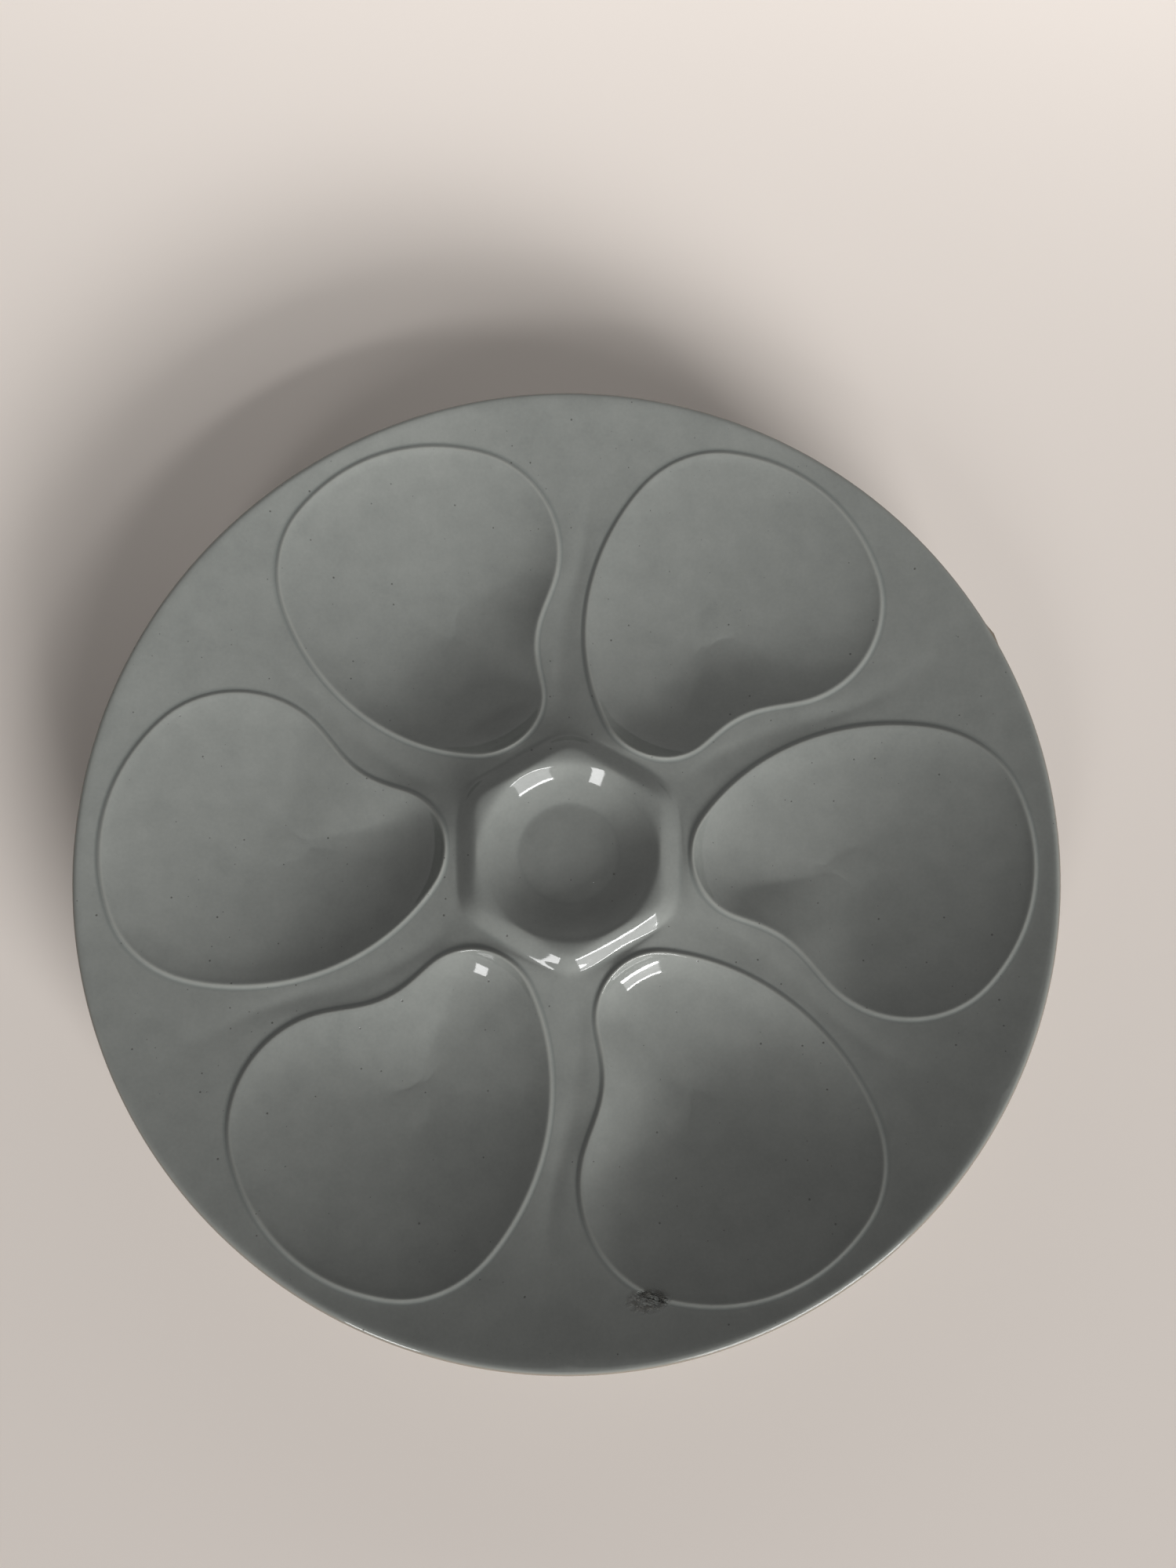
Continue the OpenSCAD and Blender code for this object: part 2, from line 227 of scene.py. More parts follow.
def drawComma(grow):
    # three circles and the arcs that touch them, moved outwards by a width, as one closed chain
    c = comma
    tail = Vector((c["tailIn"], -c["tailOff"])) * mm
    lobe = Vector((c["outerEdge"] - c["notchLobeIn"], -c["notchLobeOff"])) * mm
    rear = Vector((c["outerEdge"] - c["backLobeIn"], c["backLobeOff"])) * mm
    outer = meeting(lobe, (c["outerArc"] - c["notchLobe"]) * mm, rear, (c["outerArc"] - c["backLobe"]) * mm)
    back = meeting(rear, (c["backArc"] - c["backLobe"]) * mm, tail, (c["backArc"] - c["tailRadius"]) * mm)
    notch = meeting(lobe, (c["notchArc"] + c["notchLobe"]) * mm, tail, (c["notchArc"] + c["tailRadius"]) * mm)
    sweep = lambda a, b: (b - a) % 360
    atTail, atNotch, atLobe = heading(back, tail), heading(tail, notch), heading(lobe, notch)
    atOuter, atRear, atBack = heading(outer, lobe), heading(outer, rear), heading(back, rear)
    reach = c["tailRadius"] * mm + grow
    start = turned(Vector((reach, 0)), atTail) + tail
    piece = startPiece("glaze_skin", (*start, 0))
    steps = c["steps"]
    drawArc(tail, sweep(atTail, atNotch), steps["tail"])
    drawArc(notch, -sweep(atLobe, atNotch), steps["notch"])
    drawArc(lobe, sweep(atLobe, atOuter), steps["notchLobe"])
    drawArc(outer, sweep(atOuter, atRear), steps["outer"])
    drawArc(rear, sweep(atRear, atBack), steps["backLobe"])
    drawArc(back, sweep(atBack, atTail), steps["back"])
    mergeAll()
    return piece


def drawBorder():
    # the sector's edge: out along one spoke, round the rim, in along the next and past the boss
    half = face["sector"] / 2
    cornerReach = (boss["halfWidth"] - boss["corner"]) / math.cos(math.radians(half)) * mm
    cornerRadius = (boss["corner"] + boss["flank"]) * mm
    corner = Vector((cornerReach + cornerRadius, 0))
    rim = Vector((face["rimRadius"] * mm, 0))
    middle = corner.lerp(rim, spoke["turn"])
    sway = math.sin(math.radians(spoke["sway"]))
    innerBow = bowed(corner, middle, -(corner.x + middle.x) / 2 * sway)
    outerBow = bowed(middle, rim, (middle.x + rim.x) / 2 * sway)
    startChain((*turned(corner, -half), 0))
    drawArc(turned(innerBow[0], -half), innerBow[1], spoke["inner"])
    drawArc(turned(outerBow[0], -half), outerBow[1], spoke["outer"])
    drawArc((0, 0), face["sector"], spoke["rimSteps"])
    drawArc(turned(outerBow[0], half), -outerBow[1], spoke["outer"])
    drawArc(turned(innerBow[0], half), -innerBow[1], spoke["inner"])
    cornerMiddle = turned(Vector((cornerReach, 0)), half)
    drawArc(cornerMiddle, -half, 1)
    drawTo((0, -cornerMiddle.y, 0))
    drawTo((0, -cornerMiddle.y, 0))
    drawArc((cornerMiddle.x, -cornerMiddle.y), -half, 1)
    mergeAll()


def outwardShare(radius):
    return max(0, (radius - face["sweepRadius"]) / (face["rimRadius"] - face["sweepRadius"]))


def landAt(radius):
    # height of the land between the wells, in millimetres
    f = face
    inward = max(0, (f["sweepRadius"] - radius) / (f["sweepRadius"] - boss["halfWidth"] - boss["flank"]))
    rise = (f["plateHeight"] - f["landHeight"]) * outwardShare(radius) ** f["landPower"]
    return f["landHeight"] + rise + f["bossRise"] * inward ** f["bossPower"]


def floorAt(radius):
    # height of a well's floor
    return face["floorHeight"] + face["floorRise"] * outwardShare(radius) ** face["floorPower"]


def landForm():
    # the face with no wells in it, turned on the wheel: it sweeps up to the boss and to the rim
    start, end, step = landWheel["start"], face["rimRadius"] + landWheel["past"], landWheel["step"]
    form = startPiece("land_form", (start * mm, 0, landAt(start) * mm))
    for i in range(round((end - start) / step)):
        radius = start + step * i
        drawTo((step * mm, 0, (landAt(radius + step) - landAt(radius)) * mm))
    turnAll(landWheel["turns"])
    mergeAll()
    bpy.ops.object.mode_set(mode="OBJECT")
    return form


def lipAt(radius):
    # the lip stands up less where the land climbs to the rim
    start, end, lost = well["lipFade"]
    return well["lipHeight"] * (1 - lost * min(1, max(0, (radius - start) / (end - start))))


def liftBy(piece, heightOf):
    # gives each selected point the height that its radius and its own height ask for
    mesh = bmesh.from_edit_mesh(piece.data)
    for point in mesh.verts:
        if point.select:
            point.co.z = heightOf(point.co.xy.length / mm, point.co.z / mm) * mm
    bmesh.update_edit_mesh(piece.data)


def sinkInto(piece, share):
    # the selected ring, to a share of the well's depth above the floor, which rises outwards as the land does
    lip = lambda radius: landAt(radius) + lipAt(radius)
    liftBy(piece, lambda radius, height: floorAt(radius) + (lip(radius) - floorAt(radius)) * share)


def drawWell(piece):
    # foot, rolled lip and wall follow the comma; the floor's rings close in on the well's middle
    w = well
    inset(w["foot"] * mm)
    for width, rise in w["lip"]:
        inset(width * w["lipWidth"] * mm)
        liftBy(piece, lambda radius, height: height + rise * lipAt(radius))
    for width, share in w["wall"]:
        inset(width * mm)
        sinkInto(piece, share)
    middle = Vector(w["centre"]) * mm
    way = 1
    for reach, share in w["floor"]:
        nextRing(reach / way, 0, middle)
        sinkInto(piece, share)
        way = reach
    bpy.ops.mesh.delete(type="ONLY_FACE")
    selectLoop(piece, (*middle, floorAt(middle.length / mm) * mm))
    bpy.ops.mesh.fill_grid(span=w["grid"], offset=w["gridStart"], use_interp_simple=True)


def sinkSpokes(piece):
    # the land dips along each spoke and at the boss's foot, less and less towards the rim
    b = boss
    half = face["sector"] / 2
    selectLoop(piece, (*turned(Vector((face["rimRadius"], 0)), half) * mm, face["plateHeight"] * mm))
    place = lambda p: (round(p.co.x, 6), round(p.co.y, 6))
    border = {place(point) for point in bmesh.from_edit_mesh(piece.data).verts if point.select}
    start = ((b["halfWidth"] - b["corner"]) / math.cos(math.radians(half)) + b["corner"] + b["flank"]) * mm
    steps = spoke["inner"] + spoke["outer"]
    band = (face["rimRadius"] * mm - start) / steps
    for step in range(steps):
        reach = start + band * step
        inBand = lambda p: place(p) in border and abs(p.co.xy.length - reach) < band / 2
        beside = lambda p: place(p) not in border and any(inBand(edge.other_vert(p)) for edge in p.link_edges)
        dip = face["valleyDip"] * (1 - (step / steps) ** 2) * mm
        selectPlaces(piece, inBand)
        bpy.ops.transform.translate(value=(0, 0, -dip))
        selectPlaces(piece, beside)
        bpy.ops.transform.translate(value=(0, 0, -dip / 2))


def drawBoss(piece):
    # six-sided flank, then the crest goes over into the round sauce well and its flat floor
    b = boss
    reach = b["halfWidth"] + b["flank"]
    width = reach
    selectLoop(piece, (width * mm, 0, (landAt(width) - face["valleyDip"]) * mm))
    bpy.ops.mesh.edge_face_add()
    for nextWidth, height in b["rings"]:
        inset((width - nextWidth) * mm)
        flatten(height * mm)
        width = nextWidth
    bpy.ops.mesh.delete(type="ONLY_FACE")
    radius, low = b["sauceRadius"], b["sauceHeight"]
    bpy.ops.mesh.primitive_circle_add(vertices=b["sides"], radius=radius * mm, location=(0, 0, low * mm))
    same = lambda value, aim: abs(value / mm - aim) < b["near"]
    onCrest = lambda p: same(p.co.z, height) and p.co.xy.length < reach * mm
    onCircle = lambda p: same(p.co.z, low) and same(p.co.xy.length, radius)
    selectPlaces(piece, lambda p: onCrest(p) or onCircle(p))
    bpy.ops.mesh.bridge_edge_loops()
    selectLoop(piece, (radius * mm, 0, low * mm))
    bpy.ops.transform.translate(value=(0, 0, (height - low) * mm))
    for across, up in b["sauce"]:
        nextRadius = b["sauceFloor"] + (b["sauceRadius"] - b["sauceFloor"]) * across
        nextHeight = b["sauceHeight"] + (b["height"] - b["sauceHeight"]) * up
        nextRing(nextRadius / radius, (nextHeight - height) * mm)
        radius, height = nextRadius, nextHeight
    nextRing(b["centre"], 0)
    bpy.ops.mesh.fill_grid(span=b["grid"])


def drawUnderside(piece):
    # round the rim's edge and in under the wells to the foot ring
    u = underside
    crest, edge = face["rimRadius"], face["edgeRadius"]
    radius, height = crest, face["plateHeight"]
    selectLoop(piece, (radius * mm, 0, height * mm))
    bpy.ops.transform.edge_crease(value=u["crease"])
    middle = height - edge
    turns = [math.radians(turn) for turn in u["edges"]]
    places = [(crest + edge * math.cos(a), middle + edge * math.sin(a)) for a in turns]
    endRadius, endHeight = places[-1]
    for share in u["shares"]:
        places.append((u["footRadius"] + (endRadius - u["footRadius"]) * share,
                       u["footHeight"] + (endHeight - u["footHeight"] - face["glaze"]) * share ** u["power"]))
    for nextRadius, nextHeight in places:
        nextRing(nextRadius / radius, (nextHeight - height) * mm)
        radius, height = nextRadius, nextHeight


def makeSkin():
    piece = drawComma((well["lipWidth"] + well["foot"]) * mm)
    drawBorder()
    bpy.ops.mesh.select_all(action="SELECT")
    bpy.ops.mesh.bridge_edge_loops(type="SINGLE", number_cuts=1, interpolation="LINEAR")
    bpy.ops.object.mode_set(mode="OBJECT")
    form = landForm()
    applyModifier(piece, "SHRINKWRAP", target=form, wrap_method="PROJECT", use_project_z=True,
                  use_positive_direction=True, use_negative_direction=True)
    bpy.data.objects.remove(form)
    bpy.ops.object.mode_set(mode="EDIT")
    sinkSpokes(piece)
    tip = comma["tailIn"] - comma["tailRadius"] - well["lipWidth"] - well["foot"]
    selectLoop(piece, (tip * mm, 0, landAt(tip) * mm))
    bpy.ops.mesh.edge_face_add()
    drawWell(piece)
    rest = 360 - face["sector"]
    turnAll(rest // face["sector"], rest, copies=True)
    mergeAll()
    drawBoss(piece)
    drawUnderside(piece)
    mergeAll()
    faceOutwards()
    return piece


def copyOf(piece, name):
    makeActive(piece)
    bpy.ops.object.duplicate()
    other = bpy.context.object
    other.name = name
    return other


print("drawing the glazed face")
skin = makeSkin()

print("lining it at the glaze's depth")
lining = copyOf(skin, "lining")
bpy.ops.object.mode_set(mode="EDIT")
bpy.ops.mesh.select_all(action="SELECT")
bpy.ops.transform.shrink_fatten(value=-face["glaze"] * mm, use_even_offset=True)
bpy.ops.object.mode_set(mode="OBJECT")
body = copyOf(lining, "fired_body")

# The body: the same form under the glaze, with its foot ring and the recess inside it

foot = {
    "outer": 80, "inner": 74, "recess": 3.6,
    "round": 1, "turns": [30, 60, 90],  # radius of the ring's rounded edges, and where they get points
    "recessRings": [60, 40, 20, 3], "grid": 15,
}


def drawFoot(piece):
    # down the ring's outside, across the face that it stands on, up its inside and over the recess
    f = foot
    selectLoop(piece, (underside["footRadius"] * mm, 0, f["recess"] * mm))
    radius, height = underside["footRadius"], f["recess"]
    places = [(f["outer"], f["recess"]), (f["outer"], f["round"])]
    turns = [math.radians(turn) for turn in f["turns"]]
    bow = f["round"]
    places += [(f["outer"] - bow + bow * math.cos(a), bow - bow * math.sin(a)) for a in turns]
    places += [(f["inner"] + bow - bow * math.cos(a), bow - bow * math.sin(a)) for a in reversed(turns)]
    places += [(f["inner"], f["round"]), (f["inner"], f["recess"])]
    places += [(reach, f["recess"]) for reach in f["recessRings"]]
    flatten(height * mm)
    for nextRadius, nextHeight in places:
        nextRing(nextRadius / radius, (nextHeight - height) * mm)
        radius, height = nextRadius, nextHeight
    bpy.ops.mesh.fill_grid(span=f["grid"], use_interp_simple=True)


print("drawing the body's foot")
bpy.ops.object.mode_set(mode="EDIT")
drawFoot(body)
mergeAll()
faceOutwards()

print("closing the glaze round its edge")
applyModifier(skin, "SUBSURF", levels=face["smooth"])
applyModifier(lining, "SUBSURF", levels=face["liningSmooth"])
applyModifier(body, "SUBSURF", levels=face["liningSmooth"])
makeActive(skin)
lining.select_set(True)
bpy.ops.object.join()
bpy.ops.object.mode_set(mode="EDIT")
selectPlaces(skin, lambda p: p.is_boundary)
bpy.ops.mesh.bridge_edge_loops()
faceOutwards()

# The glaze inside the foot ring

recess = {
    "reach": 74, "top": 3.6, "glaze": 0.5, "cove": 1.2, "coveSteps": 6,
    "hub": 2, "turns": 96,  # turned on the wheel round an open hub, which is filled afterwards
}


def makeRecess():
    # a disc of glaze that climbs a little way down the foot's inside in a cove
    r = recess
    under = r["top"] - r["glaze"]
    piece = startPiece("recess_glaze", (r["hub"] * mm, 0, r["top"] * mm))
    drawTo(((r["reach"] - r["hub"]) * mm, 0, 0))
    drawTo((0, 0, -(r["glaze"] + r["cove"]) * mm))
    drawTo((-r["glaze"] * mm, 0, 0))
    middle = (r["reach"] - r["glaze"] - r["cove"], 0, under - r["cove"])
    bpy.ops.mesh.spin(steps=r["coveSteps"], angle=math.radians(90), center=Vector(middle) * mm, axis=(0, 1, 0))
    drawTo((-(middle[0] - r["hub"]) * mm, 0, 0))
    turnAll(r["turns"])
    mergeAll()
    for height in (r["top"], under):
        selectLoop(piece, (r["hub"] * mm, 0, height * mm))
        bpy.ops.mesh.edge_face_add()
    faceOutwards()
    return piece


print("drawing the glaze inside the foot")
recessGlaze = makeRecess()

print("fitting the pieces to the packed size")
widest = (cadHigh.x - cadLow.x) / skin.dimensions.x
for piece in (skin, body):
    makeActive(piece)
    piece.scale = (widest, widest, 1)
    bpy.ops.object.transform_apply(location=False, rotation=False, scale=True)
for piece in (skin, body, recessGlaze):
    makeActive(piece)
    bpy.ops.object.shade_smooth_by_angle(angle=math.radians(face["softAngle"]))
    print(piece.name, len(piece.data.polygons), [round(c / mm, 3) for c in piece.dimensions])

# Where the glaze is thin (its crests also carry a painted highlight), gathered or flawed, kept on the skin's
# points for the material

# millimetres: a crusted patch on a lip, and two beads of glaze on the rim's edge
crust = {"place": (18.9, -106.6, 21.8), "reach": (4.2, 2.2), "turn": 8, "jitter": 0.12, "push": (0, 0, 0)}
beads = [
    {"place": (108.9, 56.4, 23.4), "reach": (0.9, 0.9), "turn": 0, "jitter": 0.04, "push": (0.4, 0.21, 0)},
    {"place": (-112.7, -48.0, 23.4), "reach": (0.9, 0.9), "turn": 0, "jitter": 0.04, "push": (-0.42, -0.18, 0)},
]
flaws = [crust, *beads]
crumple = {
    "depth": 3, "finer": 2.2, "cuts": 3,  # finer faces, in an area wider than the flaw
    "uniform": 0.2, "normal": 1,
}
coat = {
    "thinAndSheen": (130, 420), "pooled": (60, 200),  # bend of a crest (thin glaze and a painted highlight) or a hollow, in 1/m, where it starts and is full
    "shortest": 1e-9,  # least square of an edge's length, in square metres
    "soften": 3,  # times that each point takes half of its neighbours' bend
    "edgeReach": (121.6, 122.3),
    "crustNear": 8, "crustGrow": 1.4, "crustFull": 1.35,
}


def flawShare(point, flaw, grow=1.0):
    # 1 in the middle of a flaw, 0 from its edge outwards
    away = turned((Vector(point) / mm - Vector(flaw["place"])).xy, -flaw["turn"])
    reach = math.hypot(away.x / flaw["reach"][0], away.y / flaw["reach"][1]) / grow
    return max(0, 1 - reach ** 2)


def makeFlaws(piece):
    # finer faces round each flaw, pushed out and crumpled
    c = crumple
    for count, flaw in enumerate(flaws):
        low = flaw["place"][2] - c["depth"]
        isNear = lambda p, grow: p.co.z > low * mm and flawShare(p.co, flaw, grow) > 0
        selectPlaces(piece, lambda p: isNear(p, c["finer"]))
        bpy.ops.mesh.subdivide(number_cuts=c["cuts"], smoothness=0)
        selectPlaces(piece, lambda p: isNear(p, 1))
        bpy.ops.transform.translate(value=Vector(flaw["push"]) * mm)
        bpy.ops.transform.vertex_random(offset=flaw["jitter"] * mm, uniform=c["uniform"], normal=c["normal"],
                                        seed=count + 1)


def markCoat(piece):
    # from 0 to 1 on each point: how thin the glaze is on a crest, where a highlight is painted too, how pooled,
    # how near the rim's edge, how crusted
    mesh = piece.data
    count = len(mesh.vertices)
    places, normals = np.empty(count * 3), np.empty(count * 3)
    mesh.vertices.foreach_get("co", places)
    mesh.vertices.foreach_get("normal", normals)
    places, normals = places.reshape(-1, 3), normals.reshape(-1, 3)
    pairs = np.empty(len(mesh.edges) * 2, int)
    mesh.edges.foreach_get("vertices", pairs)
    a, b = pairs.reshape(-1, 2).T
    step = places[b] - places[a]
    squared = np.maximum((step ** 2).sum(1), coat["shortest"])
    bend = (step * (normals[b] - normals[a])).sum(1) / squared  # above 0 on a crest, below 0 in a hollow
    around = np.bincount(a, minlength=count) + np.bincount(b, minlength=count)
    crest = (np.bincount(a, bend, count) + np.bincount(b, bend, count)) / around
    for _ in range(coat["soften"]):
        crest = (crest + (np.bincount(a, crest[b], count) + np.bincount(b, crest[a], count)) / around) / 2
    ramp = lambda values, span: np.clip((values - span[0]) / (span[1] - span[0]), 0, 1)
    reach = np.hypot(places[:, 0], places[:, 1]) / mm
    away = np.hypot(places[:, 0] / mm - crust["place"][0], places[:, 1] / mm - crust["place"][1])
    flawed = np.zeros(count)
    for i in np.nonzero(away < coat["crustNear"])[0]:
        flawed[i] = min(1, coat["crustFull"] * flawShare(places[i], crust, coat["crustGrow"]))
    masks = {"glazeThinAndSheen": ramp(crest, coat["thinAndSheen"]), "glazePooled": ramp(-crest, coat["pooled"]),
             "glazeEdge": ramp(reach, coat["edgeReach"]), "glazeFlaw": flawed}
    for name, values in masks.items():
        mesh.attributes.new(name, "FLOAT", "POINT").data.foreach_set("value", values.astype(np.float32))
        print(name, "covers", round(float(values.mean()), 3))


print("crumpling the glaze's flaws and marking its thickness")
makeActive(skin)
bpy.ops.object.mode_set(mode="EDIT")
makeFlaws(skin)
bpy.ops.object.mode_set(mode="OBJECT")
markCoat(skin)

# Materials

def addNode(tree, kind, inputs=None, **settings):
    node = tree.nodes.new("ShaderNode" + kind)
    for key, value in settings.items():
        setattr(node, key, value)
    for key, value in (inputs or {}).items():
        node.inputs[key].default_value = value
    return node


def mapped(tree, source, fromLow, fromHigh, toLow=0, toHigh=1):
    # a value stretched from one range to another, and held at its ends
    ends = {"From Min": fromLow, "From Max": fromHigh, "To Min": toLow, "To Max": toHigh}
    node = addNode(tree, "MapRange", ends)
    tree.links.new(source, node.inputs["Value"])
    return node.outputs["Result"]


def combined(tree, operation, first, second):
    # each of the two is a number or another node's socket
    node = addNode(tree, "Math", operation=operation)
    for socket, value in zip(node.inputs, (first, second)):
        if isinstance(value, (int, float)):
            socket.default_value = value
        else:
            tree.links.new(value, socket)
    return node.outputs["Value"]


def mixedColour(tree, share, first, second):
    node = addNode(tree, "Mix", data_type="RGBA")
    sockets = [socket for socket in node.inputs if socket.enabled]
    for socket, value in zip(sockets, (share, first, second)):
        if isinstance(value, tuple):
            socket.default_value = (*value, 1)
        else:
            tree.links.new(value, socket)
    return next(socket for socket in node.outputs if socket.enabled)


def tinted(tree, colour, mask, share, tint):
    # the colour with a share of another laid over it where the mask is
    return mixedColour(tree, combined(tree, "MULTIPLY", mask, share), colour, tint)


def addBump(tree, shader, height):
    bump = addNode(tree, "Bump", {"Distance": 1, "Strength": 1})
    tree.links.new(height, bump.inputs["Height"])
    tree.links.new(bump.outputs["Normal"], shader.inputs["Normal"])


def newGroup(name, numbers, result):
    # a node group that takes a place and some numbers, and puts out one number
    tree = bpy.data.node_groups.new(name, "ShaderNodeTree")
    tree.interface.new_socket("Vector", in_out="INPUT", socket_type="NodeSocketVector")
    for label in numbers:
        tree.interface.new_socket(label, in_out="INPUT", socket_type="NodeSocketFloat")
    tree.interface.new_socket(result, in_out="OUTPUT", socket_type="NodeSocketFloat")
    return tree, tree.nodes.new("NodeGroupInput"), tree.nodes.new("NodeGroupOutput")


clouds = {"detail": 4, "roughness": 0.55, "span": (0.3, 0.7)}
specks = {"least": 0.001, "edge": (1, 0.5)}  # least radius, and the shares of it where a speck starts and is full


def makeCloudGroup():
    # soft uneven patches, from 0 to 1
    tree, start, end = newGroup("kiln_clouds", ["Scale"], "Cloud")
    noise = addNode(tree, "TexNoise", {"Detail": clouds["detail"], "Roughness": clouds["roughness"]})
    tree.links.new(start.outputs["Vector"], noise.inputs["Vector"])
    tree.links.new(start.outputs["Scale"], noise.inputs["Scale"])
    tree.links.new(mapped(tree, noise.outputs["Fac"], *clouds["span"]), end.inputs["Cloud"])
    return tree


def makeSpeckGroup():
    # scattered round specks: Size is their radius in cells, Share says how many cells have one
    tree, start, end = newGroup("iron_specks", ["Scale", "Size", "Share"], "Speck")
    cells = addNode(tree, "TexVoronoi", voronoi_dimensions="2D")
    tree.links.new(start.outputs["Vector"], cells.inputs["Vector"])
    tree.links.new(start.outputs["Scale"], cells.inputs["Scale"])
    parts = addNode(tree, "SeparateColor")
    tree.links.new(cells.outputs["Color"], parts.inputs["Color"])
    chosen = combined(tree, "LESS_THAN", parts.outputs["Red"], start.outputs["Share"])
    radius = combined(tree, "MULTIPLY", start.outputs["Size"], parts.outputs["Green"])
    radius = combined(tree, "MAXIMUM", radius, specks["least"])
    near = combined(tree, "DIVIDE", cells.outputs["Distance"], radius)
    dot = mapped(tree, near, *specks["edge"])
    tree.links.new(combined(tree, "MULTIPLY", chosen, dot), end.inputs["Speck"])
    return tree


cloudGroup, speckGroup = makeCloudGroup(), makeSpeckGroup()


def grouped(tree, group, coords, **values):
    # a node group's result at the object's coordinates
    node = tree.nodes.new("ShaderNodeGroup")
    node.node_tree = group
    tree.links.new(coords, node.inputs["Vector"])
    for key, value in values.items():
        node.inputs[key.title()].default_value = value
    return node.outputs[0]


def newMaterial(name):
    material = bpy.data.materials.new(name)
    material.use_nodes = True
    tree = material.node_tree
    return material, tree, tree.nodes["Principled BSDF"]


def objectPlaces(tree):
    return addNode(tree, "TexCoord").outputs["Object"]


celadon = {
    # the pale crest colour is partly thin glaze and partly a painted highlight along the lips
    "deep": (0.148, 0.156, 0.146), "pale": (0.210, 0.218, 0.203), "thinAndSheen": (0.26, 0.264, 0.24),
    "pooled": (0.118, 0.130, 0.122), "edge": (0.15, 0.115, 0.08), "speck": (0.03, 0.028, 0.024),
    "scorched": (0.09, 0.085, 0.075),
    "cloud": (24, 0.45), "wisp": (150, 0.33), "grain": (1100, 0.22),  # scale, and share in the glaze's patches
    "pooledShare": 0.6, "thinAndSheenShare": 0.45, "dotShare": 0.8, "scorchedShare": 0.8,
    "specks": {"scale": 190, "size": 0.065, "share": 0.2},
    "pinholes": {"scale": 480, "size": 0.09, "share": 0.035},
    "crustScale": 900, "crustSpan": (0.25, 0.6),
    "roughness": (0.045, 0.075), "flawRoughness": 0.35,
    "dotDepth": 0.00003, "crustHeight": 0.0002,  # metres
    "waves": [(40, 0.00024), (130, 0.00004), (420, 0.000006)],  # how fine each is, and its height in metres
}


def makeGlaze():
    # semi-opaque grey-green glaze: thin and pale over lips and edges, which also paints a highlight along the
    # lips, deeper where it gathers, with pinholes
    g = celadon
    material, tree, shader = newMaterial("celadon_glaze")
    coords = objectPlaces(tree)
    link = tree.links.new
    mask = lambda name: addNode(tree, "Attribute", attribute_name=name).outputs["Fac"]
    patchy = lambda name: grouped(tree, cloudGroup, coords, scale=g[name][0])
    cloud, wisp, grain = patchy("cloud"), patchy("wisp"), patchy("grain")
    patch = combined(tree, "ADD", combined(tree, "MULTIPLY", cloud, g["cloud"][1]),
                     combined(tree, "MULTIPLY", wisp, g["wisp"][1]))
    patch = combined(tree, "ADD", patch, combined(tree, "MULTIPLY", grain, g["grain"][1]))
    colour = mixedColour(tree, patch, g["deep"], g["pale"])
    colour = tinted(tree, colour, mask("glazePooled"), g["pooledShare"], g["pooled"])
    # painted highlight: crests are made paler, partly for thin glaze and partly in place of the light lines that
    # the lips catch
    colour = tinted(tree, colour, mask("glazeThinAndSheen"), g["thinAndSheenShare"], g["thinAndSheen"])
    colour = mixedColour(tree, mask("glazeEdge"), colour, g["edge"])
    dots = combined(tree, "MAXIMUM", grouped(tree, speckGroup, coords, **g["specks"]),
                    grouped(tree, speckGroup, coords, **g["pinholes"]))
    colour = tinted(tree, colour, dots, g["dotShare"], g["speck"])
    crumbs = grouped(tree, cloudGroup, coords, scale=g["crustScale"])
    flaw = combined(tree, "MULTIPLY", mask("glazeFlaw"), mapped(tree, crumbs, *g["crustSpan"]))
    colour = tinted(tree, colour, flaw, g["scorchedShare"], g["scorched"])
    link(colour, shader.inputs["Base Color"])
    marks = combined(tree, "MULTIPLY", combined(tree, "MAXIMUM", flaw, dots), g["flawRoughness"])
    link(combined(tree, "ADD", mapped(tree, wisp, 0, 1, *g["roughness"]), marks), shader.inputs["Roughness"])
    height = combined(tree, "MULTIPLY", dots, -g["dotDepth"])
    for scale, depth in g["waves"]:
        wave = addNode(tree, "TexNoise", {"Scale": scale, "Detail": 1})
        link(coords, wave.inputs["Vector"])
        height = combined(tree, "ADD", height, combined(tree, "MULTIPLY", wave.outputs["Fac"], depth))
    crumbled = combined(tree, "MULTIPLY", combined(tree, "MULTIPLY", flaw, crumbs), g["crustHeight"])
    addBump(tree, shader, combined(tree, "ADD", height, crumbled))
    return material


clay = {
    "light": (0.62, 0.54, 0.43), "dark": (0.5, 0.41, 0.31), "speck": (0.16, 0.11, 0.075),
    "stain": (0.36, 0.31, 0.25),
    "cloudScale": 60, "grainScale": 2400, "grainShare": 0.3, "roughness": (0.75, 0.92),
    "stainTop": 0.0009,  # metres above the table
    "stainScale": 140, "stainSpan": (0.2, 0.8), "stainShare": 0.7,
    "specks": {"scale": 600, "size": 0.3, "share": 0.12}, "speckShare": 0.8,
    "grainHeight": 0.00004,  # metres
}


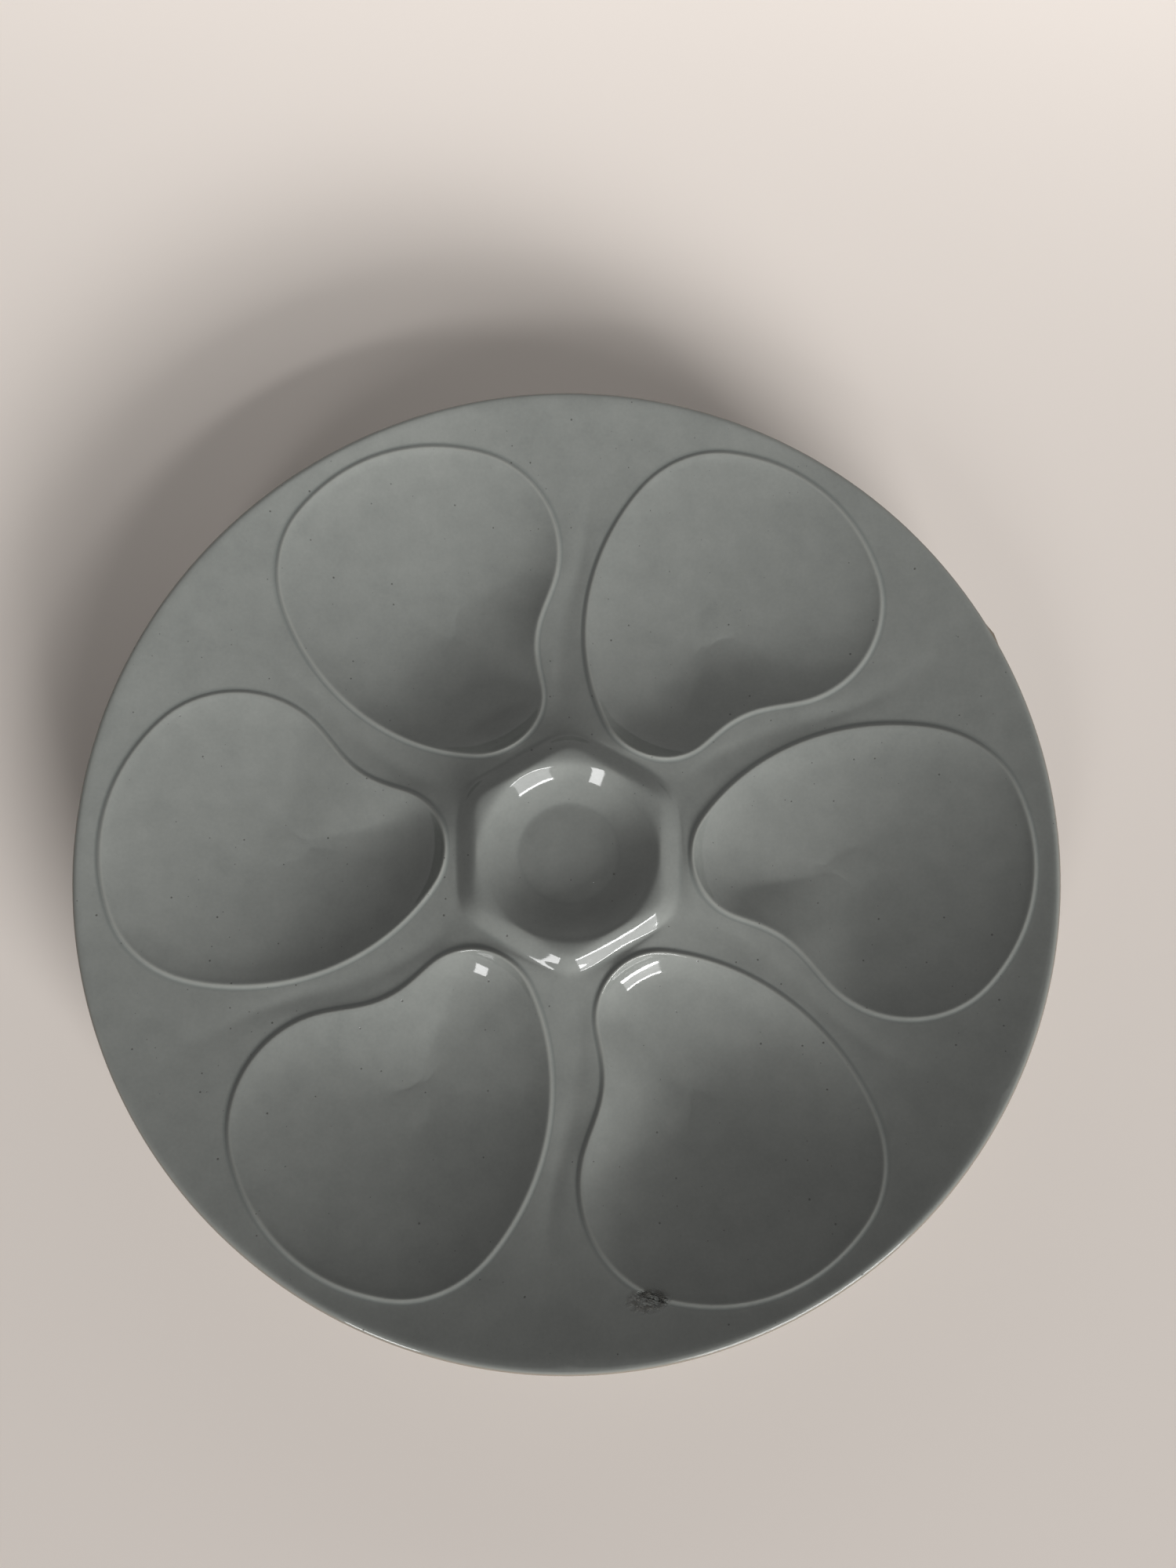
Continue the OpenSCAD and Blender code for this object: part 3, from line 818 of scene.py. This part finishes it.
def makeClay():
    # bare fired clay: fine sandy grain, iron specks, and grey rubbed dirt on the face that it stands on
    c = clay
    material, tree, shader = newMaterial("fired_clay")
    coords = objectPlaces(tree)
    link = tree.links.new
    cloud = grouped(tree, cloudGroup, coords, scale=c["cloudScale"])
    grain = grouped(tree, cloudGroup, coords, scale=c["grainScale"])
    colour = mixedColour(tree, cloud, c["light"], c["dark"])
    colour = tinted(tree, colour, grain, c["grainShare"], c["dark"])
    height = addNode(tree, "SeparateXYZ")
    link(coords, height.inputs["Vector"])
    worn = mapped(tree, height.outputs["Z"], c["stainTop"], 0)
    rubbed = mapped(tree, grouped(tree, cloudGroup, coords, scale=c["stainScale"]), *c["stainSpan"])
    colour = tinted(tree, colour, combined(tree, "MULTIPLY", worn, rubbed), c["stainShare"], c["stain"])
    colour = tinted(tree, colour, grouped(tree, speckGroup, coords, **c["specks"]), c["speckShare"], c["speck"])
    link(colour, shader.inputs["Base Color"])
    link(mapped(tree, grain, 0, 1, *c["roughness"]), shader.inputs["Roughness"])
    addBump(tree, shader, combined(tree, "MULTIPLY", grain, c["grainHeight"]))
    return material


glazeLook, clayLook = makeGlaze(), makeClay()
skin.data.materials.append(glazeLook)
recessGlaze.data.materials.append(glazeLook)
body.data.materials.append(clayLook)

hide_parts("glaze_coat")
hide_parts("ceramic_body")
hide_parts("foot_recess_glaze")
for piece, slot in ((skin, "glaze"), (body, "biscuit"), (recessGlaze, "glaze")):
    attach(piece, "root")

# Floor, light and camera

floor = {"size": 6, "colour": (0.79, 0.72, 0.665), "roughness": 0.9, "gloss": 0}
lamps = [  # azimuth and height in degrees, distance and size in metres; a soft one isn't mirrored in the glaze
    {"name": "main_top", "azimuth": -60, "height": 32, "distance": 9, "size": (4.5, 0.5), "power": 175},
    {"name": "main_middle", "azimuth": -60, "height": 24, "distance": 9, "size": (4.5, 1.88), "power": 115},
    {"name": "main_bottom", "azimuth": -60, "height": 15, "distance": 9, "size": (4.5, 0.74), "power": 260},
    {"name": "main_soft", "azimuth": -60, "height": 17, "distance": 9, "size": (4.5, 1.9), "power": 900},
    {"name": "side_window", "azimuth": -114, "height": 27, "distance": 9, "size": (1.4, 2.54), "power": 134},
    {"name": "wall_glow", "azimuth": 84, "height": 19, "distance": 0.37, "size": (1, 0.26), "power": 0.85},
]
softLamps = ["main_soft", "wall_glow"]
studio = {"colour": (1, 0.99, 0.97), "fill": 0.03, "backdrop": 0.6}
shot = {  # tilts and roll in radians, the rest in millimetres
    "tiltX": -0.1901, "tiltY": 0.0118, "roll": 0.002, "distance": 318.63, "side": (-4.81, -16.77),
    "target": 20, "lens": 29.12, "sensor": 36,
}

bpy.ops.object.select_all(action="DESELECT")
bpy.ops.mesh.primitive_plane_add(size=floor["size"])
ground = bpy.context.object
ground.name = "floor"
paper, tree, shader = newMaterial("pale_floor")
shader.inputs["Base Color"].default_value = (*floor["colour"], 1)
shader.inputs["Roughness"].default_value = floor["roughness"]
shader.inputs["Specular IOR Level"].default_value = floor["gloss"]
ground.data.materials.append(paper)

for lamp in lamps:
    a, h = math.radians(lamp["azimuth"]), math.radians(lamp["height"])
    way = Vector((math.cos(a) * math.cos(h), math.sin(a) * math.cos(h), math.sin(h)))
    bpy.ops.object.light_add(type="AREA", location=way * lamp["distance"])
    light = bpy.context.object
    light.name = lamp["name"]
    light.rotation_euler = way.to_track_quat("Z", "Y").to_euler()
    light.data.shape = "RECTANGLE"
    light.data.size, light.data.size_y = lamp["size"]
    light.data.energy = lamp["power"]
    light.visible_glossy = lamp["name"] not in softLamps

# the room: a faint fill on the object, and a pale backdrop for the camera and for what mirrors it
world = bpy.data.worlds.new("studio")
bpy.context.scene.world = world
world.use_nodes = True
tree = world.node_tree
background = tree.nodes["Background"]
background.inputs["Color"].default_value = (*studio["colour"], 1)
ray = addNode(tree, "LightPath").outputs
seen = combined(tree, "MAXIMUM", combined(tree, "MAXIMUM", ray["Is Camera Ray"], ray["Is Glossy Ray"]),
                ray["Is Transmission Ray"])
tree.links.new(mapped(tree, seen, 0, 1, studio["fill"], studio["backdrop"]), background.inputs["Strength"])

bpy.context.scene.view_settings.view_transform = "Standard"
spin = (Matrix.Rotation(shot["roll"], 3, "Z") @ Matrix.Rotation(shot["tiltX"], 3, "X")
        @ Matrix.Rotation(shot["tiltY"], 3, "Y")).transposed()
place = spin @ Vector((-shot["side"][0], -shot["side"][1], shot["distance"]))
place += Vector((0, 0, shot["target"]))
bpy.ops.object.camera_add(location=place * mm, rotation=spin.to_euler())
camera = bpy.context.object
camera.data.lens = shot["lens"]
camera.data.sensor_width = shot["sensor"]
bpy.context.scene.camera = camera
